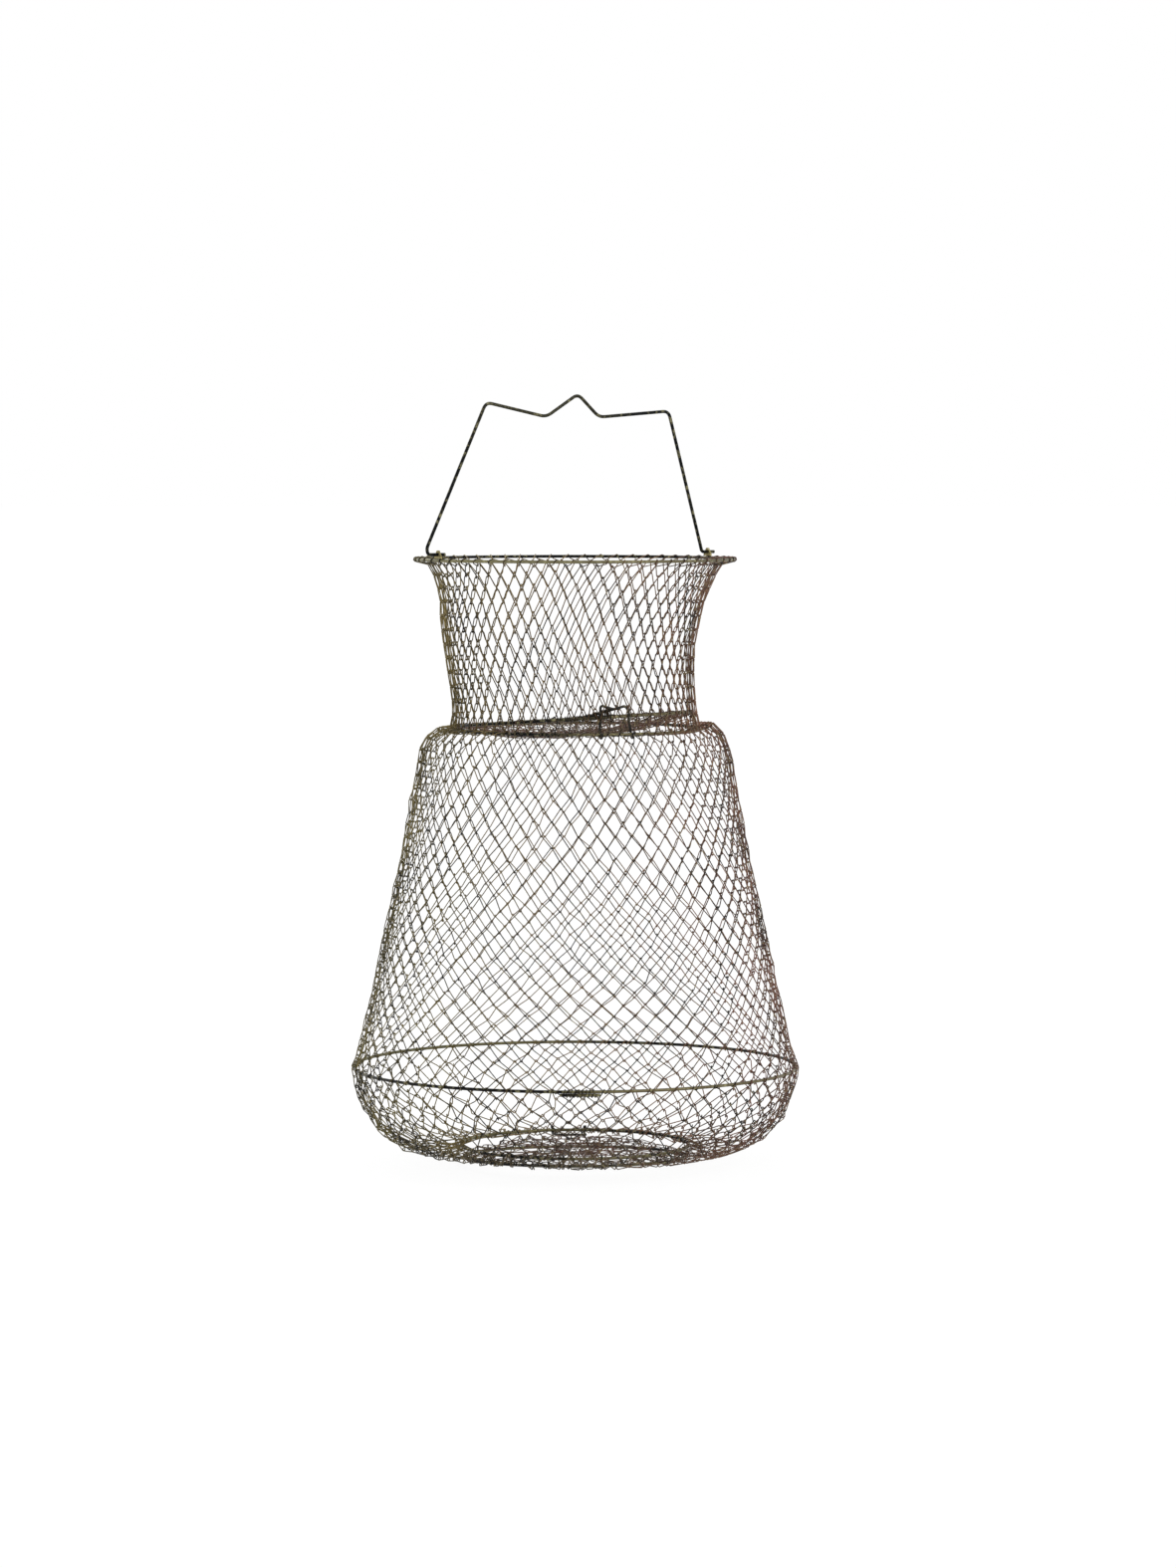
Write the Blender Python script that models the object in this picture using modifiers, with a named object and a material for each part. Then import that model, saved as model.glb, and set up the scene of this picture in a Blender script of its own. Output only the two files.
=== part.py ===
"""Collapsible wire keep net: a knitted wire basket on four hoops, with a bail and a latched lid at each end.

Metres, +Z up. The origin is on the floor, in the middle of the bottom lid.
"""
import math

import bmesh
import bpy
from mathutils import Matrix, Vector

# heights of the hoops above the floor, at the middle of the wire
RIM_Z = 0.4450
NECK_Z = 0.3190
BELLY_Z = 0.0670
BASE_Z = 0.00825

# hoop radii, to the middle of the wire
RIM_R = 0.1183
NECK_R = 0.0915
BELLY_R = 0.1650
BASE_R = 0.0850
TOP_LID_R = 0.0865
BOTTOM_LID_R = 0.0825

# wire radii
HOOP_WIRE = 0.00115
BAIL_WIRE = 0.0011
CLIP_WIRE = 0.0009
CATCH_WIRE = 0.0008
EYE_WIRE = 0.0005
NET_WIRE = 0.0017
LID_NET_WIRE = 0.0014
FIT = 0.0003
EYE_FIT = 0.00045

# how each group is turned about the upright axis, in degrees
BAIL_TURN = 32.5
TOP_LID_TURN = 20.0
BOTTOM_LID_TURN = 184.0

# the top lid stands a little open against its clip, and the bottom lid hangs a little at its far side
TOP_LID_TILT = 3.0
TOP_LID_LIFT = 0.0035
TOP_LID_SAG = -0.0040
BOTTOM_LID_TILT = 0.49
BOTTOM_LID_DROP = 0.0056
BOTTOM_LID_SAG = 0.0028

HOOP_STEPS = 40
HOOP_SIDES = 8
NET_COLUMNS = 18
LID_COLUMNS = 12
EYE_X = 0.014
CLIP_HALF = 0.011
CLIP_HEIGHT = 0.0215
CLIP_DIP = 0.0042
TOP_CATCH_ARC = (-119.0, -103.0)
BOTTOM_CATCH_ARC = (-112.0, -92.0)
CATCH_RISE = 0.0032
BAIL_AXIS_LIFT = 0.0044
BAIL_PEAK = 0.1166

for old in list(bpy.data.objects):
    bpy.data.objects.remove(old, do_unlink=True)

keep_net = bpy.data.collections.new("wire_keep_net")
bpy.context.scene.collection.children.link(keep_net)


def metal(name, colour, roughness):
    """A wire finish."""
    made = bpy.data.materials.new(name)
    made.use_nodes = True
    shader = made.node_tree.nodes["Principled BSDF"]
    shader.inputs["Base Color"].default_value = (*colour, 1.0)
    shader.inputs["Metallic"].default_value = 1.0
    shader.inputs["Roughness"].default_value = roughness
    return made


HOOP_STEEL = metal("bronzed_hoop_wire", (0.16, 0.15, 0.09), 0.40)
NET_STEEL = metal("bronzed_net_wire", (0.20, 0.16, 0.10), 0.45)
LID_STEEL = metal("reddish_lid_wire", (0.22, 0.12, 0.08), 0.50)
CLIP_STEEL = metal("dark_spring_wire", (0.06, 0.06, 0.05), 0.40)
EAR_BRASS = metal("brassed_sheet", (0.40, 0.34, 0.18), 0.45)


def add(name, data, finish, frame=None):
    """A named piece in the collection, on a frame empty if it moves with one."""
    piece = bpy.data.objects.new(name, data)
    keep_net.objects.link(piece)
    data.materials.append(finish)
    piece.parent = frame
    return piece


def pivot(name, location, turn=0.0, tilt=0.0):
    """An empty on a joint's axis: turned about Z, then tilted about its own X."""
    empty = bpy.data.objects.new(name, None)
    empty.matrix_world = (
        Matrix.Rotation(math.radians(turn), 4, "Z")
        @ Matrix.Translation(location)
        @ Matrix.Rotation(math.radians(tilt), 4, "X")
    )
    keep_net.objects.link(empty)
    return empty


def mesh_from(bm, name, smooth=True):
    """The bmesh as mesh data with outward faces."""
    bmesh.ops.recalc_face_normals(bm, faces=bm.faces[:])
    data = bpy.data.meshes.new(name)
    bm.to_mesh(data)
    bm.free()
    if smooth:
        data.shade_smooth()
    return data


def hoop(name, radius, centre, finish, frame=None):
    """A closed wire ring with a flat strip below and above, so it can stand on a floor."""
    bm = bmesh.new()
    half_step = Matrix.Rotation(math.pi / HOOP_SIDES, 4, "Z")
    upright = Matrix.Rotation(math.pi / 2, 4, "X")
    section = bmesh.ops.create_circle(
        bm,
        segments=HOOP_SIDES,
        radius=HOOP_WIRE / math.cos(math.pi / HOOP_SIDES),
        matrix=Matrix.Translation((radius, 0, 0)) @ upright @ half_step,
    )["verts"]
    bmesh.ops.spin(
        bm,
        geom=section + bm.edges[:],
        cent=(0, 0, 0),
        axis=(0, 0, 1),
        angle=math.tau,
        steps=HOOP_STEPS,
        use_merge=True,
    )
    bmesh.ops.remove_doubles(bm, verts=bm.verts[:], dist=1e-6)
    bmesh.ops.translate(bm, verts=bm.verts[:], vec=centre)
    return add(name, mesh_from(bm, name), finish, frame)


def net(name, profile, columns, thickness, finish, frame=None, centre=(0, 0, 0)):
    """A diamond net turned from a profile: its quads are poked, and the straight edges dissolved."""
    bm = bmesh.new()
    points = [bm.verts.new((radius, 0, z)) for radius, z in profile]
    lines = [bm.edges.new(pair) for pair in zip(points, points[1:])]
    bmesh.ops.spin(
        bm,
        geom=points + lines,
        cent=(0, 0, 0),
        axis=(0, 0, 1),
        angle=math.tau,
        steps=columns,
        use_merge=True,
    )
    bmesh.ops.remove_doubles(bm, verts=bm.verts[:], dist=1e-6)
    straight = bm.edges[:]
    middles = bmesh.ops.poke(bm, faces=bm.faces[:])["verts"]
    for middle in middles:
        middle.co.xy /= math.cos(math.pi / columns)
    inner = [edge for edge in straight if not edge.is_boundary]
    bmesh.ops.dissolve_edges(bm, edges=inner, use_verts=False)
    cut_cells = [face for face in bm.faces if len(face.verts) == 3]
    bmesh.ops.delete(bm, geom=cut_cells, context="FACES")
    bmesh.ops.translate(bm, verts=bm.verts[:], vec=centre)
    piece = add(name, mesh_from(bm, name, smooth=False), finish, frame)
    wires = piece.modifiers.new("wires", "WIREFRAME")
    wires.thickness = thickness
    wires.offset = 0.0
    wires.use_even_offset = True
    wires.use_boundary = True
    wires.use_replace = True
    return piece


def rod(name, points, radius, finish, frame=None, cyclic=False):
    """A bent wire through the points, with filled ends unless it is a closed loop."""
    data = bpy.data.curves.new(name, "CURVE")
    data.dimensions = "3D"
    data.bevel_depth = radius
    data.bevel_resolution = 2
    data.use_fill_caps = not cyclic
    spline = data.splines.new("POLY")
    spline.points.add(len(points) - 1)
    for point, place in zip(spline.points, points):
        point.co = (*place, 1.0)
    spline.use_cyclic_u = cyclic
    return add(name, data, finish, frame)


def rounded(corners, radius, steps=3):
    """A polyline with its inner corners rounded off, as a bent wire has them."""
    path = [Vector(corners[0])]
    for before, corner, after in zip(corners, corners[1:], corners[2:]):
        corner = Vector(corner)
        back = Vector(before) - corner
        ahead = Vector(after) - corner
        reach = min(radius, 0.45 * back.length, 0.45 * ahead.length)
        start = corner + back.normalized() * reach
        end = corner + ahead.normalized() * reach
        for step in range(steps + 1):
            t = step / steps
            path.append(start * (1 - t) ** 2 + corner * 2 * t * (1 - t) + end * t**2)
    path.append(Vector(corners[-1]))
    return path


def arc(centre, radius, start, end, steps):
    """Points on a circle in the YZ plane, by angle in degrees from +Y towards +Z."""
    x, y, z = centre
    angles = [math.radians(start + (end - start) * i / steps) for i in range(steps + 1)]
    return [Vector((x, y + radius * math.cos(a), z + radius * math.sin(a))) for a in angles]


def oval_eye(name, x, ring_at, hoop_at, frame):
    """A closed wire link round two parallel wires, both given as (y, z) in the frame."""
    (y0, z0), (y1, z1) = ring_at, hoop_at
    heading = math.degrees(math.atan2(z1 - z0, y1 - y0))
    reach = HOOP_WIRE + EYE_FIT + EYE_WIRE
    near = arc((x, y0, z0), reach, heading + 90, heading + 270, 6)
    far = arc((x, y1, z1), reach, heading - 90, heading + 90, 6)
    return rod(name, near + far, EYE_WIRE, CLIP_STEEL, frame, cyclic=True)


def clip(name, frame, lean):
    """The M-shaped latch wire: two eyes round the ring on the frame's X axis, legs, two peaks and a dip."""
    eye = HOOP_WIRE + EYE_FIT + CLIP_WIRE
    peak, dip = CLIP_HEIGHT, CLIP_HEIGHT - CLIP_DIP
    left_eye = arc((-CLIP_HALF, 0, 0), eye, -200, 0, 7)
    left_eye[0].x -= 0.0012
    legs = rounded(
        [
            (-CLIP_HALF, eye, 0),
            (-CLIP_HALF + 0.0012, eye, peak),
            (0, eye, dip),
            (CLIP_HALF - 0.0012, eye, peak),
            (CLIP_HALF, eye, 0),
        ],
        0.0028,
    )
    right_eye = [Vector((-p.x, p.y, p.z)) for p in reversed(left_eye)]
    path = left_eye[:-1] + legs + right_eye[1:]
    turn = Matrix.Rotation(math.radians(lean), 4, "X")
    return rod(name, [turn @ p for p in path], CLIP_WIRE, CLIP_STEEL, frame)


def lid(side, radius, ring_radius, ring_z, turn, tilt, up):
    """A lid in its hinge's frame: +Y is the hinge side, and up is +1 above the ring or -1 below it."""
    axis_y = math.sqrt(ring_radius**2 - EYE_X**2)
    offset = TOP_LID_LIFT if up > 0 else BOTTOM_LID_DROP
    frame = pivot(f"{side}_lid_pivot", (0, axis_y, ring_z), turn, tilt)
    centre = Vector((0, -axis_y, up * offset))
    hoop(f"{side}_lid_hoop", radius, centre, HOOP_STEEL, frame)

    outer = radius - HOOP_WIRE - FIT - 0.55 * LID_NET_WIRE
    sag = TOP_LID_SAG if up > 0 else BOTTOM_LID_SAG
    rows = [(outer, 0.0), (outer * 0.68, sag * 0.6), (outer * 0.36, sag), (0.0065, sag)]
    net(f"{side}_lid_net", rows, LID_COLUMNS, LID_NET_WIRE, LID_STEEL, frame, centre)

    hoop_y = math.sqrt(radius**2 - EYE_X**2) - axis_y
    for word, x in (("left", -EYE_X), ("right", EYE_X)):
        oval_eye(f"{side}_lid_hinge_{word}", x, (0, 0), (hoop_y, up * offset), frame)

    hooked = catch_path(radius, up)
    rod(f"{side}_lid_catch", [centre + p for p in hooked], CATCH_WIRE, CLIP_STEEL, frame)


def catch_path(radius, up):
    """The wire end on a lid's far side: laid along the hoop, then bent to the clip's dip."""
    on_hoop = HOOP_WIRE + FIT + CATCH_WIRE
    start, end = TOP_CATCH_ARC if up > 0 else BOTTOM_CATCH_ARC
    path = []
    for step in range(7):
        angle = math.radians(start + step * (end - start) / 6)
        path.append(Vector((radius * math.cos(angle), radius * math.sin(angle), on_hoop)))
    if up > 0:
        return path + [Vector((0.0008, -radius + 0.0006, on_hoop + CATCH_RISE))]
    bend = [Vector((0, -radius + 0.0030, on_hoop)), Vector((0, -radius + 0.0060, on_hoop + 0.0006))]
    return path + bend + [Vector((0, -radius + 0.0160, on_hoop + 0.0014))]


# the four body hoops
hoop("rim_hoop", RIM_R, (0, 0, RIM_Z), HOOP_STEEL)
hoop("neck_ring", NECK_R, (0, 0, NECK_Z), HOOP_STEEL)
hoop("belly_hoop", BELLY_R, (0, 0, BELLY_Z), HOOP_STEEL)
hoop("base_ring", BASE_R, (0, 0, BASE_Z), HOOP_STEEL)

# the knitted walls, each hanging between two hoops
END_GAP = HOOP_WIRE + FIT + 0.8 * NET_WIRE
neck_rows = [
    (RIM_R - 0.0060, RIM_Z - END_GAP),
    (0.0985, 0.4060),
    (0.0930, 0.3630),
    (NECK_R + 0.0010, NECK_Z + END_GAP),
]
body_rows = [
    (NECK_R + END_GAP + 0.0005, NECK_Z),
    (0.1130, 0.3080),
    (0.1215, 0.2680),
    (0.1310, 0.2170),
    (0.1420, 0.1660),
    (0.1530, 0.1150),
    (BELLY_R, BELLY_Z + END_GAP),
]
bowl_rows = [
    (BELLY_R, BELLY_Z - END_GAP),
    (0.1590, 0.0400),
    (0.1430, 0.0180),
    (0.1140, 0.0048),
    (BASE_R + END_GAP + 0.0008, BASE_Z),
]
net("neck_net", neck_rows, NET_COLUMNS, NET_WIRE, NET_STEEL)
net("body_net", body_rows, NET_COLUMNS, NET_WIRE, NET_STEEL)
net("base_net", bowl_rows, NET_COLUMNS, NET_WIRE, NET_STEEL)

# the two lids, with the links that hinge them to their rings
lid("top", TOP_LID_R, NECK_R, NECK_Z, TOP_LID_TURN, -TOP_LID_TILT, 1)
lid("bottom", BOTTOM_LID_R, BASE_R, BASE_Z, BOTTOM_LID_TURN, BOTTOM_LID_TILT, -1)

# the latch clips, pivoted on the rings opposite the hinges
CLIP_Y = math.sqrt(NECK_R**2 - CLIP_HALF**2)
top_latch_pivot = pivot("top_latch_pivot", (0, -CLIP_Y, NECK_Z), TOP_LID_TURN)
clip("top_latch_clip", top_latch_pivot, 0.0)
BASE_CLIP_Y = math.sqrt(BASE_R**2 - CLIP_HALF**2)
bottom_latch_pivot = pivot("bottom_latch_pivot", (0, -BASE_CLIP_Y, BASE_Z), BOTTOM_LID_TURN)
clip("bottom_latch_clip", bottom_latch_pivot, -86.0)

# the bail, its feet passed through ears that stand on the rim
bail_pivot = pivot("bail_pivot", (0, 0, RIM_Z + BAIL_AXIS_LIFT), BAIL_TURN)
bail_line = [
    (-0.1125, 0, 0),
    (-0.1270, 0, 0),
    (-0.1280, 0, 0.0046),
    (-0.0793, 0, 0.1066),
    (-0.0252, 0, 0.1010),
    (0.0012, 0, BAIL_PEAK),
    (0.0228, 0, 0.1010),
    (0.0817, 0, 0.1066),
    (0.1118, 0, 0.0046),
    (0.1130, 0, 0),
    (0.1240, 0, 0),
]
rod("bail_handle", rounded(bail_line, 0.0045), BAIL_WIRE, HOOP_STEEL, bail_pivot)


def ear(name, side):
    """A small triangular ear that stands on the rim, with a hole for the bail's foot."""
    data = bpy.data.curves.new(name, "CURVE")
    data.dimensions = "2D"
    data.fill_mode = "BOTH"
    data.extrude = 0.0006
    foot = HOOP_WIRE + FIT - BAIL_AXIS_LIFT
    outline = [(-0.0050, foot), (0.0050, foot), (0.0046, foot + 0.0012), (0.0012, 0.0030), (-0.0012, 0.0030)]
    outline.append((-0.0046, foot + 0.0012))
    hole = [
        ((BAIL_WIRE + FIT) * math.cos(a), (BAIL_WIRE + FIT) * math.sin(a))
        for a in (math.tau * i / 10 for i in range(10))
    ]
    for loop in (outline, hole):
        spline = data.splines.new("POLY")
        spline.points.add(len(loop) - 1)
        for point, (x, y) in zip(spline.points, loop):
            point.co = (x, y, 0.0, 1.0)
        spline.use_cyclic_u = True
    piece = add(name, data, EAR_BRASS)
    piece.matrix_world = (
        Matrix.Rotation(math.radians(BAIL_TURN), 4, "Z")
        @ Matrix.Translation((side * RIM_R, 0, RIM_Z + BAIL_AXIS_LIFT))
        @ Matrix.Rotation(math.pi / 2, 4, "Z")
        @ Matrix.Rotation(math.pi / 2, 4, "X")
    )


ear("bail_ear_left", -1)
ear("bail_ear_right", 1)
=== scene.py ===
import math
import random

import bmesh
import bpy
from mathutils import Matrix, Vector


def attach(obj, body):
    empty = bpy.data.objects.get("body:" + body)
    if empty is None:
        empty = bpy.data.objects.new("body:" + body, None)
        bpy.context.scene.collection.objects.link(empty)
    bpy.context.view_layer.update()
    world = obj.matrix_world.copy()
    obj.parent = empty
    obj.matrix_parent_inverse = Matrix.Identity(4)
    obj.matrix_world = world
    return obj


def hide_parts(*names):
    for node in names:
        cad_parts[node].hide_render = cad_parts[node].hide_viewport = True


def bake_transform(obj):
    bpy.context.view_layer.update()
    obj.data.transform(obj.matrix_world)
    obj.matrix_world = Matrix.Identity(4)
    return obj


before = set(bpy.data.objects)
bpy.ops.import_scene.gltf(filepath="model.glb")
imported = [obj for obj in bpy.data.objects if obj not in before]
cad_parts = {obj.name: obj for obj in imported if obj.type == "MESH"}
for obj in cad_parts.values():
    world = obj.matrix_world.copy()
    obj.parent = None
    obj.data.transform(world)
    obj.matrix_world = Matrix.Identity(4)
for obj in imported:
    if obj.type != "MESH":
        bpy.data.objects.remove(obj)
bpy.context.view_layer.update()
print("frame loaded")

# camera, floor and light
view = {
    "place": (0.0096, -3.94, 0.516),
    "tilt": 3.46,       # degrees below the horizon
    "lens": 121.8,      # mm, over 36 mm along the image's height
}

cameraData = bpy.data.cameras.new("camera")
cameraData.sensor_fit = "VERTICAL"
cameraData.sensor_height = 36.0
cameraData.lens = view["lens"]
cameraData.clip_end = 200.0
camera = bpy.data.objects.new("camera", cameraData)
camera.location = view["place"]
camera.rotation_euler = (math.radians(90.0 - view["tilt"]), 0.0, 0.0)
bpy.context.scene.collection.objects.link(camera)
bpy.context.scene.camera = camera
bpy.context.scene.view_settings.view_transform = "Standard"


def makeFloor(size, height, shadow):
    # white paper that glows for the camera, with only a faint shadow left
    bm = bmesh.new()
    bmesh.ops.create_grid(bm, x_segments=1, y_segments=1, size=size)
    bmesh.ops.translate(bm, verts=bm.verts[:], vec=(0.0, 0.0, height))
    data = bpy.data.meshes.new("studioFloor")
    bm.to_mesh(data)
    bm.free()
    floor = bpy.data.objects.new("studioFloor", data)
    bpy.context.scene.collection.objects.link(floor)
    paper = bpy.data.materials.new("whitePaper")
    paper.use_nodes = True
    tree = paper.node_tree
    shader = tree.nodes["Principled BSDF"]
    shader.inputs["Base Color"].default_value = (0.95, 0.95, 0.95, 1.0)
    shader.inputs["Roughness"].default_value = 0.9
    glow = tree.nodes.new("ShaderNodeEmission")
    glow.inputs["Strength"].default_value = 1.02
    path = tree.nodes.new("ShaderNodeLightPath")
    share = tree.nodes.new("ShaderNodeMath")
    share.operation = "MULTIPLY"
    share.inputs[1].default_value = 1.0 - shadow
    mixer = tree.nodes.new("ShaderNodeMixShader")
    tree.links.new(path.outputs["Is Camera Ray"], share.inputs[0])
    tree.links.new(share.outputs[0], mixer.inputs[0])
    tree.links.new(shader.outputs[0], mixer.inputs[1])
    tree.links.new(glow.outputs[0], mixer.inputs[2])
    tree.links.new(mixer.outputs[0], tree.nodes["Material Output"].inputs["Surface"])
    data.materials.append(paper)


def makeWorld(strength):
    # plain light on the object, and pure white where the camera looks past it
    world = bpy.data.worlds.new("whiteRoom")
    world.use_nodes = True
    tree = world.node_tree
    room = tree.nodes["Background"]
    room.inputs["Color"].default_value = (1.0, 1.0, 1.0, 1.0)
    room.inputs["Strength"].default_value = strength
    white = tree.nodes.new("ShaderNodeBackground")
    white.inputs["Color"].default_value = (1.0, 1.0, 1.0, 1.0)
    white.inputs["Strength"].default_value = 1.0
    path = tree.nodes.new("ShaderNodeLightPath")
    mixer = tree.nodes.new("ShaderNodeMixShader")
    tree.links.new(path.outputs["Is Camera Ray"], mixer.inputs[0])
    tree.links.new(room.outputs[0], mixer.inputs[1])
    tree.links.new(white.outputs[0], mixer.inputs[2])
    tree.links.new(mixer.outputs[0], tree.nodes["World Output"].inputs["Surface"])
    bpy.context.scene.world = world


def makeLamp(name, place, aim, size, power):
    lamp = bpy.data.lights.new(name, "AREA")
    lamp.shape = "DISK"
    lamp.size = size
    lamp.energy = power
    holder = bpy.data.objects.new(name, lamp)
    holder.location = place
    holder.rotation_euler = (Vector(aim) - Vector(place)).to_track_quat("-Z", "Y").to_euler()
    bpy.context.scene.collection.objects.link(holder)


# the floor lies just under the bottom lid, which hangs a little below the base ring
makeFloor(size=60.0, height=-0.0062, shadow=0.12)
makeWorld(strength=0.95)
lampAim = (0.0, 0.0, 0.25)
makeLamp("softKey", (2.4, -2.2, 2.4), lampAim, size=0.9, power=30.0)
makeLamp("softBack", (-1.6, 2.4, 2.0), lampAim, size=0.8, power=16.0)
print("stage set")


# finishes, with painted shading and painted glints
def patinaAndShadingGroup():
    # worn wire: dark patina patches on a tint that changes from left to right, with painted shading, and fine
    # grain that also carries painted glints
    # painted shade and painted light, by X times Y and by Y, make more or less of the patches dark
    patchEdges = (0.32, 0.68)
    tintEdges = (-0.13, 0.13)
    glintEdges = (0.52, 0.74)
    roughness = (0.28, 0.56)
    group = bpy.data.node_groups.new("wirePatinaAndShading", "ShaderNodeTree")
    for name in ("Dark", "Middle", "Side", "Bright"):
        group.interface.new_socket(name, in_out="INPUT", socket_type="NodeSocketColor")
    for name in ("Patch Size", "Grain And Glint Size", "Diagonal", "Depth"):
        group.interface.new_socket(name, in_out="INPUT", socket_type="NodeSocketFloat")
    group.interface.new_socket("Color", in_out="OUTPUT", socket_type="NodeSocketColor")
    for name in ("Roughness", "Height"):
        group.interface.new_socket(name, in_out="OUTPUT", socket_type="NodeSocketFloat")
    nodes, link = group.nodes, group.links.new
    given = nodes.new("NodeGroupInput")
    made = nodes.new("NodeGroupOutput")
    place = nodes.new("ShaderNodeTexCoord").outputs["Object"]

    def noise(scale, detail):
        texture = nodes.new("ShaderNodeTexNoise")
        texture.inputs["Detail"].default_value = detail
        link(place, texture.inputs["Vector"])
        link(given.outputs[scale], texture.inputs["Scale"])
        return texture.outputs["Fac"]

    def ramp(value, low, high, start=0.0, end=1.0):
        spread = nodes.new("ShaderNodeMapRange")
        for name, number in (("From Min", low), ("From Max", high), ("To Min", start), ("To Max", end)):
            spread.inputs[name].default_value = number
        link(value, spread.inputs["Value"])
        return spread.outputs["Result"]

    def math2(operation, one, two):
        node = nodes.new("ShaderNodeMath")
        node.operation = operation
        link(one, node.inputs[0])
        link(two, node.inputs[1])
        return node.outputs[0]

    def mix(mask, one, two):
        node = nodes.new("ShaderNodeMix")
        node.data_type = "RGBA"
        link(mask, node.inputs["Factor"])
        link(one, node.inputs["A"])
        link(two, node.inputs["B"])
        return node.outputs["Result"]

    axes = nodes.new("ShaderNodeSeparateXYZ")
    link(place, axes.inputs[0])
    x, y = axes.outputs["X"], axes.outputs["Y"]
    patches = noise("Patch Size", 3.0)
    grainAndGlint = noise("Grain And Glint Size", 2.0)
    # painted shade and light on the diagonals: darker where X times Y is positive, lighter where it is
    # negative
    diagonalShading = math2("MULTIPLY", math2("MULTIPLY", x, y), given.outputs["Diagonal"])
    # painted shade and light from front to back, by Y
    frontBackShading = math2("MULTIPLY", y, given.outputs["Depth"])
    # random patina patches, made darker or lighter by the painted shade and light above
    wornAndShaded = math2("SUBTRACT", ramp(patches, *patchEdges), math2("ADD", diagonalShading, frontBackShading))
    warm = mix(ramp(x, *tintEdges), given.outputs["Middle"], given.outputs["Side"])
    base = mix(ramp(wornAndShaded, 0.0, 1.0), given.outputs["Dark"], warm)
    # painted glints: where the fine grain is high the colour is lifted towards the bright glint colour
    link(mix(ramp(grainAndGlint, *glintEdges), base, given.outputs["Bright"]), made.inputs["Color"])
    link(ramp(grainAndGlint, 0.0, 1.0, *roughness), made.inputs["Roughness"])
    link(grainAndGlint, made.inputs["Height"])
    return group


patinaAndShading = patinaAndShadingGroup()


def wireFinish(name, look):
    made = bpy.data.materials.new(name)
    made.use_nodes = True
    tree = made.node_tree
    shader = tree.nodes["Principled BSDF"]
    shader.inputs["Metallic"].default_value = look["metal"]
    wearAndShading = tree.nodes.new("ShaderNodeGroup")
    wearAndShading.node_tree = patinaAndShading
    for key in ("dark", "middle", "side", "bright"):
        wearAndShading.inputs[key.capitalize()].default_value = (*look[key], 1.0)
    wearAndShading.inputs["Patch Size"].default_value = look["patches"]
    wearAndShading.inputs["Grain And Glint Size"].default_value = look["grainAndGlint"]
    wearAndShading.inputs["Diagonal"].default_value = look.get("diagonalShading", 0.0)
    wearAndShading.inputs["Depth"].default_value = look.get("frontBackShading", 0.0)
    bump = tree.nodes.new("ShaderNodeBump")
    bump.inputs["Strength"].default_value = look["bump"]
    bump.inputs["Distance"].default_value = 0.0002
    tree.links.new(wearAndShading.outputs["Color"], shader.inputs["Base Color"])
    tree.links.new(wearAndShading.outputs["Roughness"], shader.inputs["Roughness"])
    tree.links.new(wearAndShading.outputs["Height"], bump.inputs["Height"])
    tree.links.new(bump.outputs["Normal"], shader.inputs["Normal"])
    return made


# the last colour of each finish is a painted glint colour, scattered by the fine grain
olive = {
    "dark": (0.010, 0.010, 0.009), "middle": (0.120, 0.112, 0.055), "side": (0.130, 0.105, 0.058),
    "bright": (0.30, 0.28, 0.15), "patches": 11.0, "grainAndGlint": 300.0, "metal": 0.85, "bump": 0.25,
}
# the hoops are painted dark on the front-left and back-right and lighter on the other diagonal, as painted
# shade and painted light
hoopFinishAndShading = wireFinish("darkOliveHoopWire", dict(olive, dark=(0.005, 0.005, 0.005), diagonalShading=300.0))
# the rim's middle colour is brightened as a painted highlight on its lit front, and its back half is painted
# dark as shade
rimFinishAndShading = wireFinish("darkOliveRimWire", dict(
    olive, dark=(0.004, 0.004, 0.004), middle=(0.19, 0.175, 0.09), side=(0.12, 0.10, 0.06), frontBackShading=9.0
))
# the bail gets the same painted shade and painted light on its diagonals
bailFinishAndShading = wireFinish("darkOliveBailWire", dict(
    olive, dark=(0.004, 0.005, 0.005), middle=(0.062, 0.058, 0.032), side=(0.070, 0.064, 0.036),
    bright=(0.24, 0.22, 0.12), diagonalShading=220.0,
))
# the net is painted darker on its near side and lighter on its far side, as painted shade and painted light
netFinishAndShading = wireFinish("bronzedNetWire", {
    "dark": (0.008, 0.007, 0.006), "middle": (0.165, 0.135, 0.036), "side": (0.20, 0.088, 0.062),
    "bright": (0.30, 0.24, 0.13), "patches": 26.0, "grainAndGlint": 420.0, "metal": 0.80, "bump": 0.15, "frontBackShading": -3.0,
})
lidFinish = wireFinish("reddishLidWire", {
    "dark": (0.022, 0.015, 0.012), "middle": (0.125, 0.058, 0.036), "side": (0.135, 0.060, 0.040),
    "bright": (0.32, 0.25, 0.15), "patches": 60.0, "grainAndGlint": 520.0, "metal": 0.70, "bump": 0.15,
})
springFinish = wireFinish("blackSpringWire", {
    "dark": (0.008, 0.008, 0.008), "middle": (0.030, 0.027, 0.022), "side": (0.030, 0.027, 0.022),
    "bright": (0.12, 0.10, 0.06), "patches": 60.0, "grainAndGlint": 500.0, "metal": 0.85, "bump": 0.20,
})
earFinish = wireFinish("brassedEarSheet", {
    "dark": (0.16, 0.13, 0.055), "middle": (0.34, 0.29, 0.12), "side": (0.34, 0.29, 0.12),
    "bright": (0.52, 0.47, 0.26), "patches": 120.0, "grainAndGlint": 700.0, "metal": 0.85, "bump": 0.20,
})
print("finishes made")


# shaping helpers
def place(piece, finish, slot):
    piece.data.materials.clear()
    piece.data.materials.append(finish)
    return piece


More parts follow.
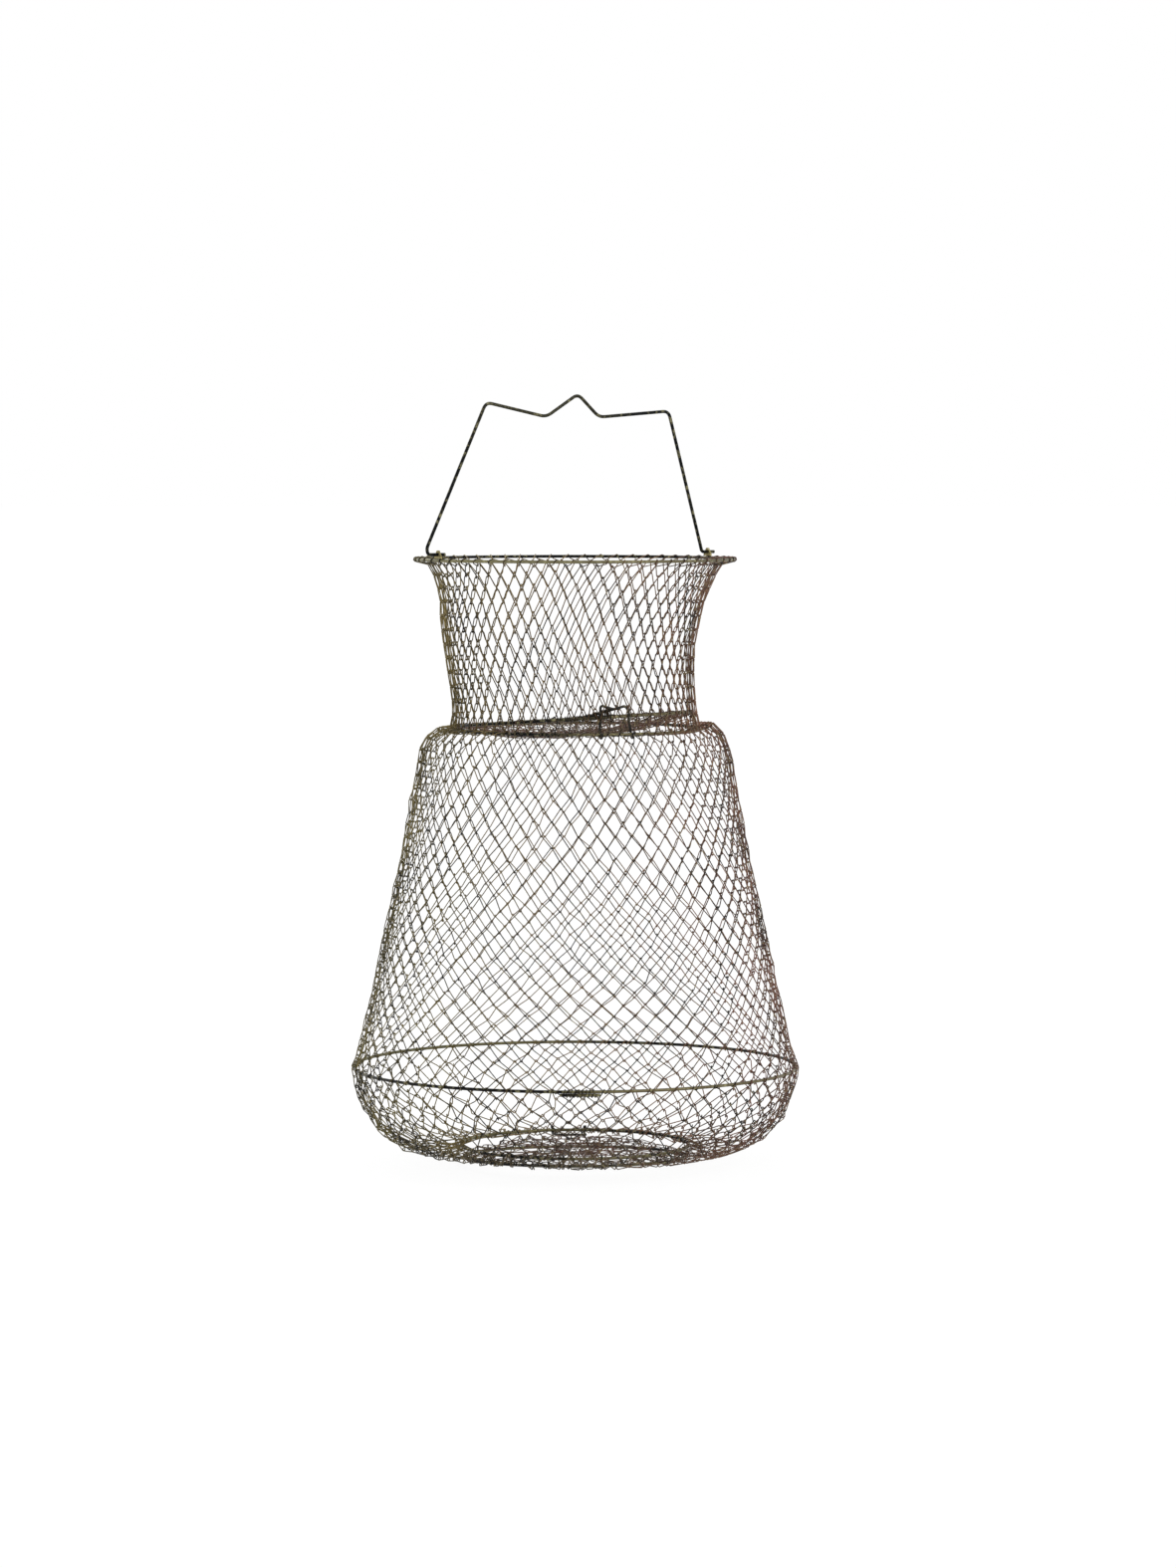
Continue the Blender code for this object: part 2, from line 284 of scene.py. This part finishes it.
def wirePiece(name, strands, radius, finish, slot, closed=True, rings=1):
    data = bpy.data.curves.new(name, "CURVE")
    data.dimensions = "3D"
    data.bevel_depth = radius
    data.bevel_resolution = rings
    data.use_fill_caps = not closed
    for strand in strands:
        spline = data.splines.new("POLY")
        spline.points.add(len(strand) - 1)
        spline.points.foreach_set("co", [c for p in strand for c in (p[0], p[1], p[2], 1.0)])
        spline.use_cyclic_u = closed
    curve = bpy.data.objects.new(name + "Curve", data)
    bpy.context.scene.collection.objects.link(curve)
    bpy.context.view_layer.update()
    mesh = bpy.data.meshes.new_from_object(curve.evaluated_get(bpy.context.evaluated_depsgraph_get()))
    bpy.data.objects.remove(curve, do_unlink=True)
    mesh.name = name
    mesh.shade_smooth()
    piece = bpy.data.objects.new(name, mesh)
    bpy.context.scene.collection.objects.link(piece)
    return place(piece, finish, slot)


def hoopPiece(name, radius, wire, height, finish, slot, matrix=None, steps=180, sides=14):
    bm = bmesh.new()
    upright = Matrix.Rotation(math.pi / 2, 4, "X")
    section = bmesh.ops.create_circle(
        bm, segments=sides, radius=wire, matrix=Matrix.Translation((radius, 0.0, height)) @ upright
    )["verts"]
    bmesh.ops.spin(
        bm, geom=section + bm.edges[:], cent=(0, 0, 0), axis=(0, 0, 1),
        angle=math.tau, steps=steps, use_merge=True,
    )
    bmesh.ops.remove_doubles(bm, verts=bm.verts[:], dist=1e-6)
    bmesh.ops.recalc_face_normals(bm, faces=bm.faces[:])
    if matrix:
        bmesh.ops.transform(bm, matrix=matrix, verts=bm.verts[:])
    mesh = bpy.data.meshes.new(name)
    bm.to_mesh(mesh)
    bm.free()
    mesh.shade_smooth()
    piece = bpy.data.objects.new(name, mesh)
    bpy.context.scene.collection.objects.link(piece)
    return place(piece, finish, slot)


def rounded(corners, radius, steps=6):
    path = [Vector(corners[0])]
    for before, corner, after in zip(corners, corners[1:], corners[2:]):
        corner = Vector(corner)
        back = Vector(before) - corner
        ahead = Vector(after) - corner
        reach = min(radius, 0.45 * back.length, 0.45 * ahead.length)
        start = corner + back.normalized() * reach
        end = corner + ahead.normalized() * reach
        for step in range(steps + 1):
            t = step / steps
            path.append(start * (1 - t) ** 2 + corner * 2 * t * (1 - t) + end * t**2)
    path.append(Vector(corners[-1]))
    return path


def arc(centre, radius, start, end, steps):
    x, y, z = centre
    turns = [math.radians(start + (end - start) * i / steps) for i in range(steps + 1)]
    return [Vector((x, y + radius * math.cos(a), z + radius * math.sin(a))) for a in turns]


# knitted wire
class Profile:
    # a wall's section as (radius, height) points, read by distance along it
    def __init__(self, points):
        self.points = [Vector(p) for p in points]
        self.lengths = [0.0]
        for a, b in zip(self.points, self.points[1:]):
            self.lengths.append(self.lengths[-1] + (b - a).length)
        self.total = self.lengths[-1]

    def at(self, s):
        i = 1
        while i < len(self.lengths) - 1 and self.lengths[i] < s:
            i += 1
        a, b = self.points[i - 1], self.points[i]
        along = (b - a).normalized()
        return a + along * (s - self.lengths[i - 1]), Vector((along.y, -along.x))


def smoothProfile(points, steps=8):
    # a Catmull-Rom curve through the measured points
    path = [Vector(p) for p in points]
    made = []
    for i in range(len(path) - 1):
        p0 = path[max(i - 1, 0)]
        p1, p2 = path[i], path[i + 1]
        p3 = path[min(i + 2, len(path) - 1)]
        for step in range(steps):
            t = step / steps
            made.append(
                0.5 * (2 * p1 + (p2 - p0) * t + (2 * p0 - 5 * p1 + 4 * p2 - p3) * t**2
                       + (3 * p1 - p0 - 3 * p2 + p3) * t**3)
            )
    made.append(path[-1])
    return Profile(made)


def knit(profile, weave, low, high, seed, sway=None, knot=(0.0, 0.0)):
    # rows of flattened coil along the profile, each hooked through the next
    # low and high give the radius of the turn round the hoop at each end
    # knot is the azimuth in degrees of one crossing, and the height of its row
    columns = weave["columns"]
    step = math.tau / columns
    leg = weave["leg"]
    levels = [0.0]
    while levels[-1] < profile.total:
        radius = profile.at(levels[-1])[0].x
        half = math.pi * radius / columns
        levels.append(levels[-1] + math.sqrt(max(leg**2 - half**2, (0.45 * leg) ** 2)))
    rows = len(levels) - 1
    if levels[-1] - profile.total > 0.5 * (levels[-1] - levels[-2]):
        rows -= 1
    scale = profile.total / levels[rows]
    levels = [level * scale for level in levels[: rows + 1]]
    rowOfKnot = min(range(rows + 1), key=lambda k: abs(profile.at(levels[k])[0].y - knot[1]))
    start = math.radians(knot[0]) - 0.5 * (rowOfKnot % 2) * step
    dice = random.Random(seed)
    slack, bulge = weave["slack"], weave["bulge"]
    shift = [
        [(dice.gauss(0, slack), dice.gauss(0, slack), dice.gauss(0, bulge)) for _ in range(columns)]
        for _ in range(rows + 1)
    ]
    turn = weave["turn"]
    overlap = weave["overlap"]

    def point(angle, s, out):
        # s may run a little past either end, round the hoop there
        inside = min(max(s, 0.0), profile.total)
        here, normal = profile.at(inside)
        along = Vector((-normal.y, normal.x))
        spot = here + along * (s - inside) + normal * out
        made = Vector((spot.x * math.cos(angle), spot.x * math.sin(angle), spot.y))
        return made + sway(made) if sway else made

    strands = []
    for k in range(rows):
        phase = 0.5 * (k % 2)
        strand = []
        for j in range(columns):
            foot = start + (j + phase) * step
            head = foot + 0.5 * step
            other = j if k % 2 == 0 else (j + 1) % columns
            for side, angle, level, crossing, ring in (
                (-1, foot, levels[k], shift[k][j], low if k == 0 else None),
                (1, head, levels[k + 1], shift[k + 1][other], high if k == rows - 1 else None),
            ):
                drift, rise, push = crossing
                push = 0.0 if ring else push
                radius = profile.at(level)[0].x
                size = ring or turn
                centre = level if ring else level + rise + side * (0.5 * overlap - turn)
                across = min(weave["across"], 0.4 * step * radius) / radius
                angle += drift / radius
                for a in (180, 120, 60, 0) if side < 0 else (0, 60, 120, 180):
                    c, s = math.cos(math.radians(a)), math.sin(math.radians(a))
                    strand.append(point(angle - side * across * c, centre + side * size * s, size * c + push))
        strands.append(strand)
    return strands


weave = {
    "columns": 59,
    "leg": 0.0114,       # length of a wire between two crossings
    "wire": 0.00039,     # wire radius
    "turn": 0.0013,      # radius of the hook at each crossing
    "overlap": 0.0012,   # how far one row hooks past the next
    "across": 0.0008,    # half the hook's width
    "slack": 0.00035,    # how far crossings wander along the wall
    "bulge": 0.00020,    # and out of it
}
neckWeave = dict(weave, wire=0.00042)
bodyWeave = dict(weave, turn=0.0014, slack=0.00055, bulge=0.00040)
bowlWeave = dict(neckWeave, turn=0.0015, overlap=0.0017, across=0.0010, slack=0.0012, bulge=0.0010)
lidWeave = dict(weave, wire=0.00036, slack=0.0011, bulge=0.0008)
hoopWire = 0.00115
hoopTurn = hoopWire + weave["wire"] + 0.00006    # the net's turns round a hoop just clear it

heights = {"rim": 0.4450, "neck": 0.3190, "belly": 0.0670, "base": 0.00825}
radii = {"rim": 0.1183, "neck": 0.0915, "belly": 0.1650, "base": 0.0850}

# walls
neckProfile = smoothProfile([
    (radii["neck"], heights["neck"]), (0.0892, 0.3340), (0.0893, 0.3500), (0.0910, 0.3720),
    (0.0940, 0.3940), (0.0972, 0.4150), (0.1030, 0.4325), (0.1085, 0.4420), (radii["rim"], heights["rim"]),
])
bodyProfile = smoothProfile([
    (radii["belly"], heights["belly"]), (0.1585, 0.0880), (0.1500, 0.1240), (0.1408, 0.1690),
    (0.1298, 0.2170), (0.1198, 0.2710), (0.1140, 0.3025), (0.1088, 0.3130), (0.1010, 0.3186),
    (radii["neck"], heights["neck"]),
])
bowlProfile = smoothProfile([
    (radii["base"], heights["base"]), (0.0910, 0.0062), (0.1050, 0.0052), (0.1210, 0.0078), (0.1368, 0.0148),
    (0.1490, 0.0262), (0.1570, 0.0385), (0.1620, 0.0520), (radii["belly"], heights["belly"]),
])


neckLean = -0.0042
shoulder = {"from": 0.290, "wide": 0.022, "rise": 0.0032}


def hump(t):
    # 0 at both ends of 0 to 1, and 1 in the middle
    return math.sin(math.pi * min(max(t, 0.0), 1.0))


def neckSway(spot):
    # the soft neck hangs a little to one side between its two hoops
    t = (spot.z - heights["neck"]) / (heights["rim"] - heights["neck"])
    return Vector((neckLean * hump(t) ** 2, 0.0, 0.0))


def shoulderSway(spot):
    # the shoulder bulges higher on its right side
    reach = math.hypot(spot.x, spot.y) - radii["neck"]
    bump = hump(reach / shoulder["wide"]) if spot.z > shoulder["from"] else 0.0
    return Vector((0.0, 0.0, shoulder["rise"] * bump * max(spot.x, 0.0) / radii["neck"]))


neckStrands = knit(neckProfile, neckWeave, hoopTurn, hoopTurn, 3, neckSway, (-103.0, 0.4173))
bodyStrands = knit(bodyProfile, bodyWeave, hoopTurn, hoopTurn, 11, shoulderSway, (-103.9, 0.1864))
bowlStrands = knit(bowlProfile, bowlWeave, hoopTurn, hoopTurn, 23)
print("rows knitted:", len(neckStrands), len(bodyStrands), len(bowlStrands))

neckNet = wirePiece("neckKnit", neckStrands, neckWeave["wire"], netFinishAndShading, "net_wire")
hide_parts("neck_net")
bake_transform(neckNet)
half = len(bodyStrands) // 2
for name, strands in (("lowerBodyKnit", bodyStrands[:half]), ("upperBodyKnit", bodyStrands[half:])):
    wall = wirePiece(name, strands, bodyWeave["wire"], netFinishAndShading, "net_wire")
    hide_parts("body_net")
    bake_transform(wall)
bowlNet = wirePiece("bowlKnit", bowlStrands, bowlWeave["wire"], netFinishAndShading, "net_wire")
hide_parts("base_net")
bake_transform(bowlNet)
print("walls made")

# hoops
for name, key, node, finish in (
    ("rimHoopWire", "rim", "rim_hoop", rimFinishAndShading),
    ("neckRingWire", "neck", "neck_ring", hoopFinishAndShading),
    ("bellyHoopWire", "belly", "belly_hoop", hoopFinishAndShading),
    ("baseRingWire", "base", "base_ring", hoopFinishAndShading),
):
    ring = hoopPiece(name, radii[key], hoopWire, heights[key], finish, "hoop_wire")
    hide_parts(node)
    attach(ring, key)


def around(radius, start, end, steps, height=0.0):
    # points on a level circle about the origin, by angle in degrees
    turns = [math.radians(start + (end - start) * i / steps) for i in range(steps + 1)]
    return [Vector((radius * math.cos(a), radius * math.sin(a), height)) for a in turns]


def binding(radius, start, end, turns, middle, wide, tall, steps=12):
    # thin wire wound round two wires that lie one over the other
    strand = []
    for i, spot in enumerate(around(radius, start, end, steps * turns, middle)):
        turn = math.tau * i / steps
        outward = Vector((spot.x, spot.y, 0.0)).normalized()
        strand.append(spot + outward * wide * math.cos(turn) + Vector((0, 0, tall * math.sin(turn))))
    return strand


# the belly hoop's two ends lie side by side in front and are bound together
lap = {
    "start": -93.6, "end": -83.6, "drop": -0.0024,
    "turns": 9, "wide": 0.0017, "tall": 0.0029, "bare": 1.0,    # bare degrees at each end
}
lapHeight = heights["belly"] + lap["drop"]
lapWire = wirePiece(
    "bellyLapWire", [around(radii["belly"], lap["start"], lap["end"], 16, lapHeight)], hoopWire, hoopFinishAndShading,
    "hoop_wire", closed=False, rings=3,
)
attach(lapWire, "belly")
lapBinding = wirePiece(
    "bellyLapBinding",
    [binding(radii["belly"], lap["start"] + lap["bare"], lap["end"] - lap["bare"], lap["turns"],
             heights["belly"] + 0.5 * lap["drop"], lap["wide"], lap["tall"])],
    weave["wire"], netFinishAndShading, "net_wire", closed=False,
)
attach(lapBinding, "belly")
print("hoops made")

# lids
topLid = {
    "side": "top", "body": "top_lid", "ring": "neck", "radius": 0.0865, "turn": 20.0,
    "tilt": -3.6, "roll": -2.3, "offset": 0.0016,
    "columns": 36, "sag": -0.0115, "bulge": 0.0, "seed": 31,
    "catch": (-119.0, -107.0), "bound": True,
}
bottomLid = {
    "side": "bottom", "body": "bottom_lid", "ring": "base", "radius": 0.0825, "turn": 184.0,
    "tilt": 2.3, "roll": 0.0, "offset": -0.0056,
    "columns": 28, "sag": 0.0028, "bulge": 0.0085, "seed": 47,
    "catch": (-112.0, -92.0), "bound": False,
}
hinge = {"spread": 0.014, "wire": 0.0005, "gap": 0.00045}
gather = {"radius": 0.0064, "wire": 0.00045, "turn": 0.0008}
catch = {"wire": 0.0008, "gap": 0.0003}
# the top catch leaves the hoop by steps of (angle, inward, up), to end in the clip's dip
topCatch = {
    "inward": 0.0021, "up": 0.0005,
    "steps": (
        (-103.0, 0.0019, 0.0014), (-99.0, 0.0015, 0.0026), (-95.0, 0.0011, 0.0039), (-91.0, 0.0008, 0.0051),
    ),
    "end": (0.0014, 0.0006, 0.0058),
}
catchWrap = {"turns": 24, "wire": 0.00048, "bare": 4.0, "end": -92.0, "tall": 0.0016, "wide": 0.0017}


def catchPath(lid):
    # a wire along the lid's hoop: the top one rises off it to the clip, the bottom one turns inward
    radius = lid["radius"]
    onHoop = hoopWire + catch["gap"] + catch["wire"]
    start, end = lid["catch"]
    if lid["side"] == "top":
        path = around(radius - topCatch["inward"], start, end, 8, topCatch["up"])
        for angle, inward, lift in topCatch["steps"]:
            path += around(radius - inward, angle, angle, 1, lift)[:1]
        x, inward, lift = topCatch["end"]
        return path + [Vector((x, -radius + inward, lift))]
    path = around(radius, start, end, 12, onHoop)
    tail = [path[-1], (0, -radius + 0.0030, onHoop), (0, -radius + 0.0060, onHoop + 0.0006)]
    return path[:-1] + rounded(tail + [(0, -radius + 0.0160, onHoop + 0.0014)], 0.0015, 3)


def catchBinding(lid, steps=12):
    # thin wire wound round the catch and the part of the hoop under it
    finger = catchPath(lid)
    start = lid["catch"][0] + catchWrap["bare"]
    made = []
    for i, low in enumerate(around(lid["radius"], start, catchWrap["end"], catchWrap["turns"] * steps)):
        high = min(finger, key=lambda p: abs(math.atan2(p.y, p.x) - math.atan2(low.y, low.x)))
        high = Vector((low.x, low.y, 0.0)).normalized() * math.hypot(high.x, high.y) + Vector((0, 0, high.z))
        middle, half = (low + high) / 2, (high - low) / 2
        reach = half.length + catchWrap["tall"]
        upward = half.normalized()
        sideways = upward.cross(Vector((-low.y, low.x, 0.0)).normalized())
        turn = math.tau * i / steps
        made.append(middle + upward * reach * math.sin(turn) + sideways * catchWrap["wide"] * math.cos(turn))
    return made


def groupFrame(distance, height, turn, tilt=0.0):
    # from a group's own axes to the net's, with the group's X along its hinge line
    return (
        Matrix.Rotation(math.radians(turn), 4, "Z")
        @ Matrix.Translation((0.0, distance, height))
        @ Matrix.Rotation(math.radians(tilt), 4, "X")
    )


def eyeLoop(x, y, z):
    # a link round the ring at the frame's origin and the lid's hoop at y, z
    heading = math.degrees(math.atan2(z, y))
    reach = hoopWire + hinge["gap"] + hinge["wire"]
    near = arc((x, 0.0, 0.0), reach, heading + 90, heading + 270, 12)
    far = arc((x, y, z), reach, heading - 90, heading + 90, 12)
    return near + far


def makeLid(lid):
    side, radius, sag = lid["side"], lid["radius"], lid["sag"]
    axisY = math.sqrt(radii[lid["ring"]] ** 2 - hinge["spread"] ** 2)
    matrix = groupFrame(axisY, heights[lid["ring"]], lid["turn"], lid["tilt"])
    roll = Matrix.Rotation(math.radians(lid["roll"]), 4, "Y")
    middle = matrix @ Matrix.Translation((0.0, -axisY, lid["offset"])) @ roll

    ring = hoopPiece(side + "LidHoopWire", radius, hoopWire, 0.0, hoopFinishAndShading, "hoop_wire", middle)
    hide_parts(side + "_lid_hoop")
    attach(ring, lid["body"])

    disc = smoothProfile([
        (gather["radius"], sag), (0.030, sag * 0.93), (0.052, sag * 0.75), (0.070, sag * 0.40), (radius, 0.0),
    ])

    def pushedUp(spot):
        # the far half of the net is pushed up into the basket
        across = max(1.0 - (spot.x / radius) ** 2, 0.0)
        return Vector((0.0, 0.0, lid["bulge"] * hump(-spot.y / radius) * across))

    discWeave = dict(lidWeave, columns=lid["columns"])
    strands = knit(disc, discWeave, gather["turn"], hoopTurn, lid["seed"], pushedUp)
    strands = [[middle @ p for p in strand] for strand in strands]
    net = wirePiece(side + "LidKnit", strands, lidWeave["wire"], lidFinish, "lid_wire")
    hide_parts(side + "_lid_net")
    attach(net, lid["body"])
    knot = hoopPiece(
        side + "LidGather", gather["radius"], gather["wire"], sag, lidFinish, "lid_wire", middle,
        steps=72, sides=8,
    )
    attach(knot, lid["body"])

    hoopY = math.sqrt(radius**2 - hinge["spread"] ** 2) - axisY
    for word, x in (("Left", -hinge["spread"]), ("Right", hinge["spread"])):
        hoopZ = lid["offset"] - x * math.sin(math.radians(lid["roll"]))
        loop = [matrix @ p for p in eyeLoop(x, hoopY, hoopZ)]
        eye = wirePiece(
            side + "LidHinge" + word, [loop], hinge["wire"], springFinish, "spring_wire", rings=2
        )
        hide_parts(side + "_lid_hinge_" + word.lower())
        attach(eye, lid["body"])

    finish, slot = (springFinish, "spring_wire") if lid["bound"] else (lidFinish, "lid_wire")
    finger = wirePiece(
        side + "LidCatch", [[middle @ p for p in catchPath(lid)]], catch["wire"], finish, slot,
        closed=False, rings=3,
    )
    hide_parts(side + "_lid_catch")
    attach(finger, lid["body"])
    if lid["bound"]:
        wraps = wirePiece(
            side + "CatchBinding", [[middle @ p for p in catchBinding(lid)]], catchWrap["wire"],
            springFinish, "spring_wire", closed=False,
        )
        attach(wraps, lid["body"])


makeLid(topLid)
makeLid(bottomLid)
print("lids made")

# latch clips
clip = {
    "half": 0.011, "wire": 0.0010, "round": 0.0024,
    "left": -0.0128, "right": 0.0115, "splay": 0.0012,
    # the corners between the feet, as (across, up)
    "corners": ((-0.0122, 0.0213), (-0.0015, 0.0181), (0.0070, 0.0208), (0.0098, 0.0165), (0.0097, 0.0100)),
}


def clipPath():
    # an M of spring wire, one peak sharp and the other rounded, with an eye round the ring at each foot
    eye = hoopWire + hinge["gap"] + clip["wire"]
    leftEye = arc((clip["left"], 0.0, 0.0), eye, -200, 0, 16)
    leftEye[0].x -= clip["splay"]
    rightEye = arc((clip["right"], 0.0, 0.0), eye, 0, -200, 16)
    rightEye[-1].x += clip["splay"]
    corners = [(clip["left"], 0.0), *clip["corners"], (clip["right"], 0.0)]
    legs = rounded([(x, eye, z) for x, z in corners], clip["round"])
    return leftEye[:-1] + legs + rightEye[1:]


for word, body, key, turn, lean in (
    ("top", "top_latch", "neck", topLid["turn"], 0.0),
    ("bottom", "bottom_latch", "base", bottomLid["turn"], -86.0),
):
    reach = math.sqrt(radii[key] ** 2 - clip["half"] ** 2)
    matrix = groupFrame(-reach, heights[key], turn, lean)
    latch = wirePiece(
        word + "LatchWire", [[matrix @ p for p in clipPath()]], clip["wire"], springFinish, "spring_wire",
        closed=False, rings=3,
    )
    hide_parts(word + "_latch_clip")
    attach(latch, body)
print("latches made")

# bail
bail = {
    "turn": 32.5, "wire": 0.00125, "lift": 0.0044, "round": 0.0050,
    # the corners from foot to foot, as (across, up)
    "corners": (
        (-0.1125, 0.0), (-0.1270, 0.0), (-0.1280, 0.0046), (-0.0772, 0.1112), (-0.0252, 0.1008),
        (0.0025, 0.1178), (0.0210, 0.1008), (0.0829, 0.1056), (0.1118, 0.0046), (0.1130, 0.0), (0.1240, 0.0),
    ),
}
bailFrame = groupFrame(0.0, heights["rim"] + bail["lift"], bail["turn"])
bailPath = rounded([(x, 0.0, z) for x, z in bail["corners"]], bail["round"], 8)
bailWire = wirePiece(
    "bailWire", [[bailFrame @ p for p in bailPath]], bail["wire"], bailFinishAndShading, "hoop_wire",
    closed=False, rings=4,
)
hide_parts("bail_handle")
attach(bailWire, "bail")
print("bail made")

# CAD pieces that keep their shape
for name in ("bail_ear_left", "bail_ear_right"):
    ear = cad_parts[name]
    ear.data.materials.clear()
    ear.data.materials.append(earFinish)
